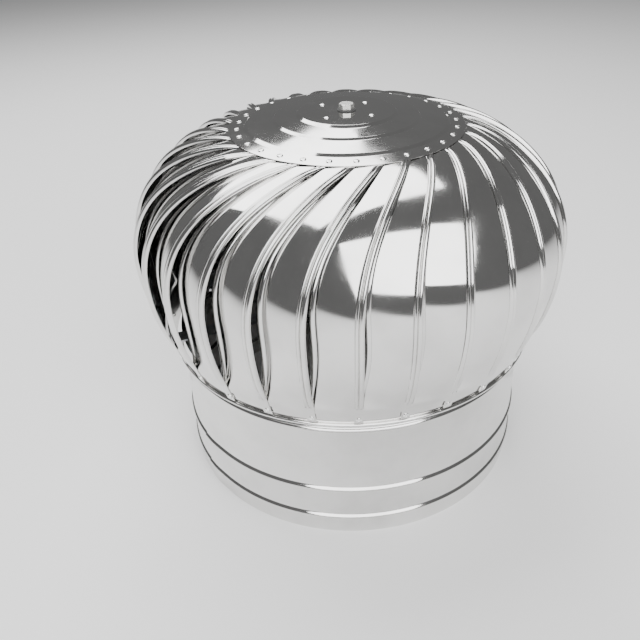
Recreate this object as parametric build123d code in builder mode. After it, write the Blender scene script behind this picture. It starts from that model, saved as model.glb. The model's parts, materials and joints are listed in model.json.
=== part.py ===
"""Roof turbine ventilator: a free-spinning rotor of swirled blades on a cylindrical neck.

The frame is in millimetres with +Z up. The origin lies on the spin axis, in the plane of the
neck's bottom edge. The front of the object faces -Y. Every sheet, turned or pressed piece is a
separate solid, and each one is written as its own STEP file under parts/.
"""

import os
from math import cos, degrees, pi, radians, sin, sqrt

from build123d import *

# ---------------------------------------------------------------- driving dimensions
# Neck: a straight cylinder with rolled beads
neck_radius = 250.0
neck_sheet = 1.0
neck_height = 214.0
bead_heights = (29.5, 80.5, 184.0)
bead_rise = 3.5
bead_half_width = 5.0

# Rotor: blades between the top plate and the lower ring
blade_count = 29
blade_sheet = 0.8
first_rivet_angle = 247.6
swirl_angle = 27.0
swirl_run = 230.0
swirl_power = 2.5
tuck_depth = 11.5
layer_gap = 0.2
rib_width = 11.0
rib_height = 3.5
rib_valley = -0.8
valley_share = 0.3
bead_lean = 0.12
edge_opening = 10.0
edge_overlap = 4.5
opening_skew = 2.0
hem_width = 7.0
hem_rise = 1.6
panel_bulge = 0.45
fold_step = 0.4

# Skin line of the blades, as (radius, height)
skin_flange_end = (154.0, 484.6)
skin_shoulder = (241.5, 443.9)
skin_equator = (290.8, 331.0)
skin_waist = (277.3, 253.0)
skin_foot_height = 204.0
flange_slope = 0.153
blade_inner_radius = 133.0
blade_flat_height = 232.0
blade_panel_foot = 222.0
notch_corner = 4.0

# Top plate: plate_press holds the steps of the pressed disc, as (radius, drop)
plate_sheet = 1.0
plate_radius = 152.0
top_rivet_circle = 141.7
plate_height = 503.5
plate_press = ((62.0, 0.0), (65.5, 3.0), (92.5, 5.5), (95.5, 8.0), (128.5, 11.5))
plate_fold_radius = 132.5
plate_bend = 0.45
plate_gap = 0.05
plug_hole_radius = 6.0
housing_rivet_count = 4
housing_rivet_circle = 40.0
housing_rivet_angle = 50.0

# Lower ring
ring_sheet = 1.0
ring_foot_height = 200.0
ring_top_height = 228.0
hem_radius = 2.4
hem_offset = 0.96
ring_rivet_height = 212.0

# Rivets
rivet_radius = 2.0
rivet_head_radius = 3.8
rivet_head_height = 1.5
rivet_tail_radius = 2.8
rivet_tail_height = 0.9
rivet_rim_share = 0.35
rivet_crown_share = (0.6, 0.85)
rivet_slack = 0.25
punch_length = 16.0

# Small edges
fit_clearance = 0.1
hub_plate_edge = 0.6
washer_edge = 0.4
shaft_edge = 1.0
hexagon_edge_share = 0.6

# Shaft and bearings
shaft_radius = 10.0
shaft_top = 498.5
shaft_foot = 160.0
upper_seat_radius = 7.5
upper_seat_height = 480.0
upper_bearing_width = 11.0
upper_bearing_radius = 17.5
top_thread_radius = 6.0
lower_seat_height = 207.0
lower_bearing_width = 14.0
lower_bearing_radius = 23.5
lower_collar_radius = 13.0
foot_collar_radius = 17.0
foot_collar_height = 6.0
foot_thread_radius = 8.0
ball_clearance = 0.05
ball_count = 7

# Hub and arms inside the neck
arm_count = 3
hub_height = 180.0
hub_plate_radius = 50.0
hub_plate_sheet = 4.0
support_width = 30.0
support_sheet = 4.0
support_inner_end = 22.0
support_top_height = 212.0
support_first_angle = 30.0
support_rivet_height = 205.0
support_rivet_offset = 8.0
hub_bolt_circle = 36.0
hub_bolt_radius = 4.0

# Brace that ties the lower bearing to the lower ring
brace_height = 225.0
brace_width = 22.0
brace_sheet = 3.0
brace_inner_end = 30.0
brace_hub_radius = 48.0
brace_foot_height = 206.0
brace_first_blade = 8
brace_steps = (0, 10, 19)
brace_rivet_offset = 6.0
brace_hub_rivets = (35.0, 43.0)

# ---------------------------------------------------------------- derived values
pitch_angle = 360.0 / blade_count
neck_bore = neck_radius - neck_sheet
top_rivet_angles = [first_rivet_angle + index * pitch_angle for index in range(blade_count)]
foot_rivet_angles = [angle - swirl_angle for angle in top_rivet_angles]
brace_angles = [foot_rivet_angles[brace_first_blade] + (step + 0.5) * pitch_angle for step in brace_steps]
support_angles = [support_first_angle + index * 360.0 / arm_count for index in range(arm_count)]
hub_top = hub_height + hub_plate_sheet
parts_folder = "parts"
os.makedirs(parts_folder, exist_ok=True)


def save(part, name):
    """Label a finished piece and write it as parts/<name>.step."""
    part.label = name
    export_step(part, os.path.join(parts_folder, name + ".step"))


def turned_frame(radius, height, angle, normal):
    """Plane on a surface of revolution: x runs round the axis, z along the outward normal.

    normal holds the outward normal's radial and vertical shares.
    """
    out = Vector(cos(radians(angle)), sin(radians(angle)), 0)
    around = Vector(-sin(radians(angle)), cos(radians(angle)), 0)
    return Plane(
        origin=out * radius + Vector(0, 0, height),
        x_dir=around,
        z_dir=out * normal[0] + Vector(0, 0, normal[1]),
    )


# ---------------------------------------------------------------- skin line
# The outer face of the blades follows this line round the axis, from the plate's middle
# outwards and down: a straight run under the plate's flange, three tangent arcs, a straight foot
flange_inner = blade_inner_radius - 3.0
flange_rise = (skin_flange_end[0] - flange_inner) * flange_slope
with BuildLine(Plane.XZ) as skin:
    flange_run = Line((flange_inner, skin_flange_end[1] + flange_rise), skin_flange_end)
    crown = TangentArc(skin_flange_end, skin_shoulder, tangent=flange_run % 1)
    side = TangentArc(skin_shoulder, skin_equator, tangent=crown % 1)
    under = TangentArc(skin_equator, skin_waist, tangent=side % 1)
    foot_direction = under % 1
    foot_length = (skin_waist[1] - skin_foot_height) / -foot_direction.Z
    Line(under @ 1, (under @ 1) + foot_direction * foot_length)
skin_wire = skin.wire()
skin_start = (top_rivet_circle - flange_inner) * sqrt(1 + flange_slope**2)
skin_end = skin_wire.length - skin_start
foot_slope = foot_direction.X / foot_direction.Z
foot_normal = (-foot_direction.Z, foot_direction.X)
flange_normal = (flange_slope / sqrt(1 + flange_slope**2), 1 / sqrt(1 + flange_slope**2))


def skin_point(distance):
    """Point and outward normal of the skin line, at a distance from the rivet circle."""
    along = distance + skin_start
    point = skin_wire.position_at(along, position_mode=PositionMode.LENGTH)
    tangent = skin_wire.tangent_at(along, position_mode=PositionMode.LENGTH)
    return point.X, point.Z, (-tangent.Z, tangent.X)


def foot_radius(height, depth=0.0):
    """Radius of the straight foot of the skin line at a height, sunk inwards by a depth."""
    start = skin_waist[0] + (height - skin_waist[1]) * foot_slope
    return start - depth * sqrt(1 + foot_slope**2)


def flange_height(radius, depth=0.0):
    """Height of the skin's run under the flange at a radius, sunk inwards by a depth."""
    start = skin_flange_end[1] + (skin_flange_end[0] - radius) * flange_slope
    return start - depth * sqrt(1 + flange_slope**2)


def foot_distance(height):
    """Distance along the skin line from the rivet circle to a height on its foot."""
    return skin_end - (height - skin_foot_height) * sqrt(1 + foot_slope**2)


def swirl(distance):
    """Turn of a blade's rib round the axis, in degrees, at a distance from the rivet circle."""
    left = min(max(1.0 - distance / swirl_run, 0.0), 1.0)
    return -swirl_angle * (1.0 - left**swirl_power)


# ---------------------------------------------------------------- blades
# Each blade is flat where it is riveted, at the flange and at the ring, and opens between them:
# its free edge rides out on a pressed rib while its other edge tucks under the next rib
body_top = 11.0
body_foot = foot_distance(blade_flat_height)
layer_step = blade_sheet + layer_gap


def pressed_bead(start, end, crest):
    """Curve of one pressed bead between two points, which rises to the height of its crest."""
    lean = (end[0] - start[0]) * bead_lean
    pull = (8.0 * crest - start[1] - end[1]) / 6.0
    return Bezier(start, (start[0] + lean, pull), (end[0] - lean, pull), end)


def blade_section(distance):
    """Outline of one blade's sheet, drawn in the plane square to the skin line."""
    radius, _, normal = skin_point(distance)
    share = min(max((distance - body_top) / (body_foot - body_top), 0.0), 1.0)
    opening = sin(pi * share**opening_skew)
    dip = sqrt(opening)
    rise = rib_height * (1.0 - abs(2.0 * share - 1.0) ** 12)
    spacing = radius * 2.0 * pi / blade_count
    tucked_edge = -spacing - edge_overlap + (edge_overlap + edge_opening) * opening
    depth = layer_step + tuck_depth * dip

    def on_skin(across, sink):
        """A point of the section, sunk below the skin."""
        return (across, -normal[0] * (radius - sqrt(radius**2 - across**2)) - sink)

    rib_edge = rib_width / 2.0
    marks = [
        on_skin(tucked_edge, depth),
        on_skin(tucked_edge + hem_width, depth),
        on_skin(-rib_edge, 0.0),
        (rib_valley, rise * valley_share),
        on_skin(rib_edge, 0.0),
    ]
    middle = on_skin((marks[1][0] + marks[2][0]) / 2.0, depth * panel_bulge)
    hem_crest = (marks[0][1] + marks[1][1]) / 2.0 + hem_rise * dip
    outlines = []
    for sink, steps in ((0.0, (0.0, 0.0, 0.0, 0.0, 0.0)),
                        (blade_sheet, (0.0, 0.0, fold_step, 0.0, -fold_step))):
        points = [(across + step, up - sink) for (across, up), step in zip(marks, steps)]
        pull = [2.0 * middle[axis] - (points[1][axis] + points[2][axis]) / 2.0 for axis in (0, 1)]
        outlines.append((points, (pull[0], pull[1] - sink), hem_crest - sink, rise - sink))
    with BuildLine() as outline:
        for points, pull, crest, ridge in outlines:
            add(pressed_bead(points[0], points[1], crest))
            Bezier(points[1], pull, points[2])
            add(pressed_bead(points[2], points[3], ridge))
            add(pressed_bead(points[3], points[4], ridge))
        for end in (0, -1):
            Line(outlines[0][0][end], outlines[1][0][end])
    return outline


def blade_plane(distance, angle):
    """Plane of a blade's section: x runs round the axis and y along the outward normal."""
    radius, height, normal = skin_point(distance)
    frame = turned_frame(radius, height, angle + swirl(distance), normal)
    return Plane(origin=frame.origin, x_dir=frame.x_dir, z_dir=frame.x_dir.cross(frame.z_dir))


body_stations = [body_top + (body_foot - body_top) * share for share in
                 (0.0, 0.07, 0.22, 0.42, 0.62, 0.8, 0.93, 1.0)]
blade_runs = [
    ((top_rivet_circle - blade_inner_radius) * -1.0, body_top),
    body_stations,
    (body_foot, foot_distance(skin_foot_height + 1.5)),
]
rivet_spots = [
    (top_rivet_circle, flange_height(top_rivet_circle), first_rivet_angle, flange_normal),
    (foot_radius(ring_rivet_height), ring_rivet_height, first_rivet_angle - swirl_angle,
     foot_normal),
]
notch_width = foot_radius(blade_panel_foot) * radians(pitch_angle) - rib_width - edge_overlap
notch_angle = first_rivet_angle - swirl_angle - pitch_angle / 2.0

with BuildPart() as blade:
    for run in blade_runs:
        for distance in run:
            with BuildSketch(blade_plane(distance, first_rivet_angle)):
                add(blade_section(distance).line)
                make_face()
        loft(ruled=len(run) == 2)
    # The foot is cut back between the two corners that reach down to the rivets
    with BuildSketch(turned_frame(neck_radius, skin_foot_height - notch_corner, notch_angle,
                                  (1.0, 0.0))):
        RectangleRounded(notch_width, 2 * (blade_panel_foot - skin_foot_height + notch_corner),
                         notch_corner)
    extrude(amount=40, mode=Mode.SUBTRACT)
    # Both edges are punched, because each rivet holds this blade and the next
    for radius, height, angle, normal in rivet_spots:
        for step in (0, 1):
            with Locations(turned_frame(radius, height, angle - step * pitch_angle, normal)):
                Cylinder(rivet_radius, punch_length, mode=Mode.SUBTRACT)

for index in range(blade_count):
    with BuildPart() as placed_blade:
        with Locations(Location((0, 0, 0), (0, 0, index * pitch_angle))):
            add(blade.part)
    save(placed_blade.part, f"blade_{index + 1:02d}")

# ---------------------------------------------------------------- top plate
flange_top = plate_gap + plate_sheet
top_hole_frames = [
    turned_frame(top_rivet_circle, flange_height(top_rivet_circle), angle, flange_normal)
    for angle in top_rivet_angles
]
plate_steps = [(radius, plate_height - drop) for radius, drop in plate_press]
plate_steps += [(radius, flange_height(radius, -flange_top))
                for radius in (plate_fold_radius, plate_radius)]
with BuildPart() as top_plate:
    with BuildSketch(Plane.XZ):
        with BuildLine():
            upper = [(plug_hole_radius, plate_height), *plate_steps]
            lower = [(radius, height - plate_sheet) for radius, height in upper]
            Polyline(*upper, *reversed(lower), close=True)
        make_face()
    revolve(axis=Axis.Z)
    bends = top_plate.edges().filter_by(GeomType.CIRCLE).filter_by(
        lambda edge: plate_press[0][0] - 1.0 < edge.radius < plate_fold_radius + 1.0
    )
    fillet(bends, plate_bend)
    with Locations(*top_hole_frames):
        Cylinder(rivet_radius, punch_length, mode=Mode.SUBTRACT)
    with PolarLocations(housing_rivet_circle, housing_rivet_count, housing_rivet_angle):
        with Locations((0, 0, plate_height)):
            Cylinder(rivet_radius, punch_length, mode=Mode.SUBTRACT)
save(top_plate.part, "top_plate")

# ---------------------------------------------------------------- lower ring
brace_turn = degrees(brace_rivet_offset / foot_radius(ring_rivet_height))
ring_depth = 2 * blade_sheet + layer_gap + plate_gap
ring_inner_depth = ring_depth + ring_sheet
brace_rivet_frames = [
    turned_frame(foot_radius(ring_rivet_height, ring_depth), ring_rivet_height, angle + turn,
                 foot_normal)
    for angle in brace_angles for turn in (-brace_turn, brace_turn)
]

ring_rivet_frames = [
    turned_frame(foot_radius(ring_rivet_height), ring_rivet_height, angle, foot_normal)
    for angle in foot_rivet_angles
]

# A flared band inside the blades' feet, its lower edge rolled outwards into a hem
hem_center = (foot_radius(ring_foot_height, ring_depth) + hem_offset, ring_foot_height)
with BuildPart() as lower_ring:
    with BuildSketch(Plane.XZ):
        with BuildLine():
            Polyline(
                (foot_radius(ring_top_height, ring_inner_depth), ring_top_height),
                (foot_radius(ring_top_height, ring_depth), ring_top_height),
                (foot_radius(ring_foot_height, ring_depth), ring_foot_height),
                (foot_radius(ring_foot_height, ring_inner_depth), ring_foot_height),
                close=True,
            )
        make_face()
        with Locations(hem_center):
            Circle(hem_radius)
            Circle(hem_radius - ring_sheet, mode=Mode.SUBTRACT)
    revolve(axis=Axis.Z)
    with Locations(*ring_rivet_frames):
        Cylinder(rivet_radius, punch_length, mode=Mode.SUBTRACT)
    with Locations(*brace_rivet_frames):
        Cylinder(rivet_radius, punch_length, mode=Mode.SUBTRACT)
save(lower_ring.part, "lower_ring")

# ---------------------------------------------------------------- rivets
def rivet_form(grip):
    """One rivet along Z: a low head above the plane z=0, its shank below, a small tail."""
    with BuildPart() as form:
        with BuildSketch(Plane.XZ):
            with BuildLine():
                rim = (rivet_head_radius, rivet_rim_share * rivet_head_height)
                crown = (rivet_crown_share[0] * rivet_head_radius,
                         rivet_crown_share[1] * rivet_head_height)
                ThreePointArc((0, rivet_head_height), crown, rim)
                Polyline(
                    rim,
                    (rivet_head_radius, 0),
                    (rivet_radius, 0),
                    (rivet_radius, -grip),
                    (rivet_tail_radius, -grip),
                    (rivet_tail_radius, -grip - rivet_tail_height),
                    (0, -grip - rivet_tail_height),
                    (0, rivet_head_height),
                )
            make_face()
        revolve(axis=Axis.Z)
    return form.part


def rivet_group(name, frames, grip):
    """Write a group of identical rivets, one solid on each frame."""
    with BuildPart() as group:
        with Locations(*frames):
            add(rivet_form(grip))
    save(group.part, name)


top_stack = flange_top + 2 * blade_sheet + layer_gap + rivet_slack
ring_stack = ring_inner_depth + rivet_slack
top_rivet_frames = [frame.offset(flange_top) for frame in top_hole_frames]
rivet_group("top_rivets", top_rivet_frames, top_stack)
rivet_group("ring_rivets", ring_rivet_frames, ring_stack)

# ---------------------------------------------------------------- neck
with BuildPart() as neck:
    with BuildSketch(Plane.XZ):
        with Locations((neck_radius - neck_sheet / 2, neck_height / 2)):
            Rectangle(neck_sheet, neck_height)
        for height in bead_heights:
            with BuildLine():
                for face_radius in (neck_radius, neck_bore):
                    ThreePointArc((face_radius, height - bead_half_width),
                                  (face_radius + bead_rise, height),
                                  (face_radius, height + bead_half_width))
                for side_height in (height - bead_half_width, height + bead_half_width):
                    Line((neck_bore, side_height), (neck_radius, side_height))
            make_face()
        for height in bead_heights:
            with BuildLine():
                ThreePointArc((neck_bore, height - bead_half_width),
                              (neck_bore + bead_rise, height),
                              (neck_bore, height + bead_half_width))
                Line((neck_bore, height + bead_half_width), (neck_bore, height - bead_half_width))
            make_face(mode=Mode.SUBTRACT)
    revolve(axis=Axis.Z)
    support_turn = degrees(support_rivet_offset / neck_radius)
    support_rivet_frames = [
        turned_frame(neck_radius, support_rivet_height, angle + turn, (1.0, 0.0))
        for angle in support_angles for turn in (-support_turn, support_turn)
    ]
    with Locations(*support_rivet_frames):
        Cylinder(rivet_radius, punch_length, mode=Mode.SUBTRACT)
save(neck.part, "neck")

# ---------------------------------------------------------------- support arms and hub plate
for index, angle in enumerate(support_angles):
    with BuildPart() as support_arm:
        with BuildSketch(Plane.XZ.rotated((0, 0, angle))):
            with BuildLine():
                Polyline(
                    (support_inner_end, hub_height - support_sheet),
                    (neck_radius, hub_height - support_sheet),
                    (neck_radius, support_top_height),
                    (neck_bore - support_sheet, support_top_height),
                    (neck_bore - support_sheet, hub_height),
                    (support_inner_end, hub_height),
                    close=True,
                )
            make_face()
        extrude(amount=support_width / 2, both=True)
        inner_bend = support_arm.edges().filter_by(
            lambda edge: abs(edge.center().Z - hub_height) < 0.01
        ).sort_by(lambda edge: Vector(edge.center().X, edge.center().Y, 0).length)[-1]
        fillet(inner_bend, support_sheet)
        with BuildSketch(Plane.XY):
            Circle(neck_bore)
        extrude(amount=support_top_height, mode=Mode.INTERSECT)
        with BuildSketch(Plane.XY):
            with PolarLocations(hub_bolt_circle, 1, angle):
                Circle(hub_bolt_radius + fit_clearance)
        extrude(amount=support_top_height, mode=Mode.SUBTRACT)
        with Locations(*support_rivet_frames):
            Cylinder(rivet_radius, punch_length, mode=Mode.SUBTRACT)
    save(support_arm.part, f"support_arm_{index + 1}")
rivet_group("support_rivets", support_rivet_frames, neck_sheet + support_sheet + rivet_slack)

with BuildPart() as hub_plate:
    with BuildSketch(Plane.XY.offset(hub_height)):
        Circle(hub_plate_radius)
        Circle(foot_thread_radius, mode=Mode.SUBTRACT)
        with PolarLocations(hub_bolt_circle, arm_count, support_first_angle):
            Circle(hub_bolt_radius + fit_clearance, mode=Mode.SUBTRACT)
    extrude(amount=hub_plate_sheet)
    rims = hub_plate.edges().filter_by(GeomType.CIRCLE).sort_by(SortBy.RADIUS)[-2:]
    chamfer(rims, hub_plate_edge)
save(hub_plate.part, "hub_plate")


# ---------------------------------------------------------------- hexagon fasteners
def hexagon_form(across_flats, height, bore=0.0):
    """A hexagon standing on z=0 with its upper corners turned off, bored if it is a nut."""
    corner = across_flats / sqrt(3)
    turned_edge = hexagon_edge_share * (corner - across_flats / 2)
    with BuildPart() as form:
        with BuildSketch():
            RegularPolygon(across_flats / 2, 6, major_radius=False)
            if bore:
                Circle(bore, mode=Mode.SUBTRACT)
        extrude(amount=height)
        with BuildSketch(Plane.XZ):
            with BuildLine():
                Polyline((0, 0), (corner, 0), (corner, height - turned_edge),
                         (across_flats / 2, height), (0, height), close=True)
            make_face()
        revolve(axis=Axis.Z, mode=Mode.INTERSECT)
    return form.part


bolt_across_flats = 13.0
bolt_head_height = 5.3
bolt_length = 19.0
bolt_nut_height = 6.5
with BuildPart() as hub_bolts:
    with PolarLocations(hub_bolt_circle, arm_count, support_first_angle):
        with Locations((0, 0, hub_top)):
            add(hexagon_form(bolt_across_flats, bolt_head_height))
        with Locations((0, 0, hub_top - bolt_length / 2)):
            Cylinder(hub_bolt_radius, bolt_length)
save(hub_bolts.part, "hub_bolts")

with BuildPart() as hub_nuts:
    with PolarLocations(hub_bolt_circle, arm_count, support_first_angle):
        with Locations(Location((0, 0, hub_height - support_sheet), (180, 0, 0))):
            add(hexagon_form(bolt_across_flats, bolt_nut_height, hub_bolt_radius))
save(hub_nuts.part, "hub_nuts")

foot_nut_across_flats = 24.0
foot_nut_height = 13.0
with BuildPart() as shaft_foot_nut:
    with Locations(Location((0, 0, hub_height), (180, 0, 0))):
        add(hexagon_form(foot_nut_across_flats, foot_nut_height, foot_thread_radius))
save(shaft_foot_nut.part, "shaft_foot_nut")

top_nut_across_flats = 19.0
top_nut_height = 6.0
with BuildPart() as shaft_top_nut:
    with Locations((0, 0, upper_seat_height + upper_bearing_width)):
        add(hexagon_form(top_nut_across_flats, top_nut_height, top_thread_radius))
save(shaft_top_nut.part, "shaft_top_nut")

plug_across_flats = 17.0
plug_head_height = 7.0
plug_length = 4.6
washer_radius = 12.0
washer_sheet = 1.5
with BuildPart() as plug_washer:
    with BuildSketch(Plane.XY.offset(plate_height)):
        Circle(washer_radius)
        Circle(plug_hole_radius, mode=Mode.SUBTRACT)
    extrude(amount=washer_sheet)
    chamfer(plug_washer.faces().sort_by(Axis.Z)[-1].outer_wire().edges(), washer_edge)
save(plug_washer.part, "plug_washer")

with BuildPart() as grease_plug:
    with Locations((0, 0, plate_height + washer_sheet)):
        add(hexagon_form(plug_across_flats, plug_head_height))
    with BuildSketch(Plane.XY.offset(plate_height + washer_sheet)):
        Circle(plug_hole_radius)
    extrude(amount=-plug_length)
save(grease_plug.part, "grease_plug")

# ---------------------------------------------------------------- shaft
with BuildPart() as shaft:
    with BuildSketch(Plane.XZ):
        with BuildLine():
            Polyline(
                (0, shaft_foot),
                (foot_thread_radius, shaft_foot),
                (foot_thread_radius, hub_top),
                (foot_collar_radius, hub_top),
                (foot_collar_radius, hub_top + foot_collar_height),
                (lower_collar_radius, hub_top + foot_collar_height),
                (lower_collar_radius, lower_seat_height),
                (shaft_radius, lower_seat_height),
                (shaft_radius, upper_seat_height),
                (upper_seat_radius, upper_seat_height),
                (upper_seat_radius, upper_seat_height + upper_bearing_width),
                (top_thread_radius, upper_seat_height + upper_bearing_width),
                (top_thread_radius, shaft_top),
                (0, shaft_top),
                close=True,
            )
        make_face()
    revolve(axis=Axis.Z)
    chamfer(shaft.faces().filter_by(GeomType.PLANE).sort_by(Axis.Z)[0].edges(), shaft_edge)
    chamfer(shaft.faces().filter_by(GeomType.PLANE).sort_by(Axis.Z)[-1].edges(), shaft_edge)
save(shaft.part, "shaft")


# ---------------------------------------------------------------- bearings and their housings
def ball_bearing(name, bore, outer, width, seat_height):
    """Write a deep-groove ball bearing as its inner race, its balls and its outer race."""
    ball_circle = (bore + outer) / 2
    ball_radius = (outer - bore) * 0.28
    groove_radius = ball_radius + ball_clearance
    shoulder = ball_radius * 0.55
    middle = seat_height + width / 2
    spans = {
        "inner_race": (bore, ball_circle - shoulder),
        "outer_race": (ball_circle + shoulder, outer),
    }
    for race_name, (low, high) in spans.items():
        with BuildPart() as race:
            with BuildSketch(Plane.XZ):
                with Locations(((low + high) / 2, middle)):
                    Rectangle(high - low, width)
                with Locations((ball_circle, middle)):
                    Circle(groove_radius, mode=Mode.SUBTRACT)
            revolve(axis=Axis.Z)
        save(race.part, f"{name}_{race_name}")
    with BuildPart() as balls:
        with PolarLocations(ball_circle, ball_count):
            with Locations((0, 0, middle)):
                Sphere(ball_radius)
    save(balls.part, f"{name}_balls")


ball_bearing("upper", upper_seat_radius, upper_bearing_radius, upper_bearing_width, upper_seat_height)
ball_bearing("lower", shaft_radius, lower_bearing_radius, lower_bearing_width, lower_seat_height)

housing_sheet = 3.0
housing_flange_radius = 48.0
housing_cup_radius = 22.5
housing_cavity_radius = 13.5
housing_top = plate_height - plate_sheet
housing_lip = 1.5
housing_root = 3.0
upper_bearing_top = upper_seat_height + upper_bearing_width
with BuildPart() as upper_housing:
    with BuildSketch(Plane.XZ):
        with BuildLine():
            Polyline(
                (plug_hole_radius + fit_clearance, housing_top),
                (housing_flange_radius, housing_top),
                (housing_flange_radius, housing_top - housing_sheet),
                (housing_cup_radius, housing_top - housing_sheet),
                (housing_cup_radius, upper_seat_height - housing_lip),
                (upper_bearing_radius, upper_seat_height - housing_lip),
                (upper_bearing_radius, upper_bearing_top),
                (housing_cavity_radius, upper_bearing_top),
                (housing_cavity_radius, housing_top - housing_sheet),
                (plug_hole_radius + fit_clearance, housing_top - housing_sheet),
                close=True,
            )
        make_face()
    revolve(axis=Axis.Z)
    root_edge = upper_housing.edges().filter_by(GeomType.CIRCLE).filter_by(
        lambda edge: abs(edge.radius - housing_cup_radius) < 0.01
    ).sort_by(Axis.Z)[-1]
    fillet(root_edge, housing_root)
    with PolarLocations(housing_rivet_circle, housing_rivet_count, housing_rivet_angle):
        with Locations((0, 0, plate_height)):
            Cylinder(rivet_radius, punch_length, mode=Mode.SUBTRACT)
save(upper_housing.part, "upper_housing")
rivet_group(
    "housing_rivets",
    [
        turned_frame(housing_rivet_circle, plate_height,
                     housing_rivet_angle + index * 360.0 / housing_rivet_count, (0.0, 1.0))
        for index in range(housing_rivet_count)
    ],
    plate_sheet + housing_sheet,
)

brace_cup_radius = 28.0
brace_lip_radius = 18.0
brace_skirt = 1.0
lower_bearing_top = lower_seat_height + lower_bearing_width
with BuildPart() as brace_hub:
    with BuildSketch(Plane.XZ):
        with BuildLine():
            Polyline(
                (brace_lip_radius, brace_height),
                (brace_hub_radius, brace_height),
                (brace_hub_radius, brace_height - brace_sheet),
                (brace_cup_radius, brace_height - brace_sheet),
                (brace_cup_radius, lower_seat_height - brace_skirt),
                (lower_bearing_radius, lower_seat_height - brace_skirt),
                (lower_bearing_radius, lower_bearing_top),
                (brace_lip_radius, lower_bearing_top),
                close=True,
            )
        make_face()
    revolve(axis=Axis.Z)
    brace_hub_frames = [
        turned_frame(radius, brace_height + brace_sheet, angle, (0.0, 1.0))
        for angle in brace_angles for radius in brace_hub_rivets
    ]
    with Locations(*brace_hub_frames):
        Cylinder(rivet_radius, punch_length, mode=Mode.SUBTRACT)
save(brace_hub.part, "brace_hub")

brace_end_height = brace_height + brace_sheet
for index, angle in enumerate(brace_angles):
    with BuildPart() as brace_arm:
        with BuildSketch(Plane.XZ.rotated((0, 0, angle))):
            with BuildLine():
                tab_depth = ring_inner_depth + plate_gap
                inner_depth = tab_depth + brace_sheet
                Polyline(
                    (brace_inner_end, brace_height),
                    (foot_radius(brace_height, inner_depth), brace_height),
                    (foot_radius(brace_foot_height, inner_depth), brace_foot_height),
                    (foot_radius(brace_foot_height, -brace_sheet), brace_foot_height),
                    (foot_radius(brace_end_height, -brace_sheet), brace_end_height),
                    (brace_inner_end, brace_end_height),
                    close=True,
                )
            make_face()
        extrude(amount=brace_width / 2, both=True)
        with BuildSketch(Plane.XZ):
            with BuildLine():
                Polyline(
                    (0, brace_foot_height),
                    (foot_radius(brace_foot_height, tab_depth), brace_foot_height),
                    (foot_radius(brace_end_height, tab_depth), brace_end_height),
                    (0, brace_end_height),
                    close=True,
                )
            make_face()
        revolve(axis=Axis.Z, mode=Mode.INTERSECT)
        with Locations(*brace_hub_frames, *brace_rivet_frames):
            Cylinder(rivet_radius, punch_length, mode=Mode.SUBTRACT)
    save(brace_arm.part, f"brace_arm_{index + 1}")

with BuildPart() as brace_rivets:
    with Locations(*brace_hub_frames):
        add(rivet_form(2 * brace_sheet))
    with Locations(*brace_rivet_frames):
        add(rivet_form(ring_sheet + brace_sheet + plate_gap + rivet_slack))
save(brace_rivets.part, "brace_rivets")
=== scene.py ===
"""Looks of a roof turbine ventilator: mirror-polished sheet, rivets, light and camera.

Every length is in metres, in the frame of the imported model: +Z up, the axis of
the turbine on the Z axis and the foot of the neck on the floor.
"""

import json
import logging
import math
from dataclasses import dataclass
from enum import Enum
from typing import Callable

import bpy
from mathutils import Matrix, Vector

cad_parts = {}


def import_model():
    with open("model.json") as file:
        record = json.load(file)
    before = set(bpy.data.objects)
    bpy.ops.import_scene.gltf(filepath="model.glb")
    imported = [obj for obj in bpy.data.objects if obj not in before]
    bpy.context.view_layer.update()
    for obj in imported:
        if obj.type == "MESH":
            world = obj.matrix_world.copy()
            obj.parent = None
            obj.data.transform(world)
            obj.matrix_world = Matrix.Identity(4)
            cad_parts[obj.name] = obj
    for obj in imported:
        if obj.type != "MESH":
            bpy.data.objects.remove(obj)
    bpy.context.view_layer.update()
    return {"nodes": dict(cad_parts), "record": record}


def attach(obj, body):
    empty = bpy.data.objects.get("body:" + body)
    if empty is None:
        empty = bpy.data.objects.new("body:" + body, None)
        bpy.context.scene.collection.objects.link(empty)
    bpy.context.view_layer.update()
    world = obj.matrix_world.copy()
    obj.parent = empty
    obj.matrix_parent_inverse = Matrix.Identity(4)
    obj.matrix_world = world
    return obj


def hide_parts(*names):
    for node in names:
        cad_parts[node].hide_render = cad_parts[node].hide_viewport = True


log = logging.getLogger("turbine_ventilator")

MM = 0.001
CREASE_ANGLE = math.radians(40.0)
BLADE_COUNT = 29


class Body(Enum):
    """The two bodies of the model: the fixed stand and the turning head."""

    BASE = "base"
    ROTOR = "rotor"


class Slot(Enum):
    """The record's material slots."""

    SHEET = "polished_sheet"
    BAR = "galvanised_bar"
    RIVET = "rivet_steel"
    BEARING = "bearing_steel"
    ZINC = "zinc_plated_steel"
    SEAL = "seal_rubber"


# ---------------------------------------------------------------- shader tools


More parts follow.
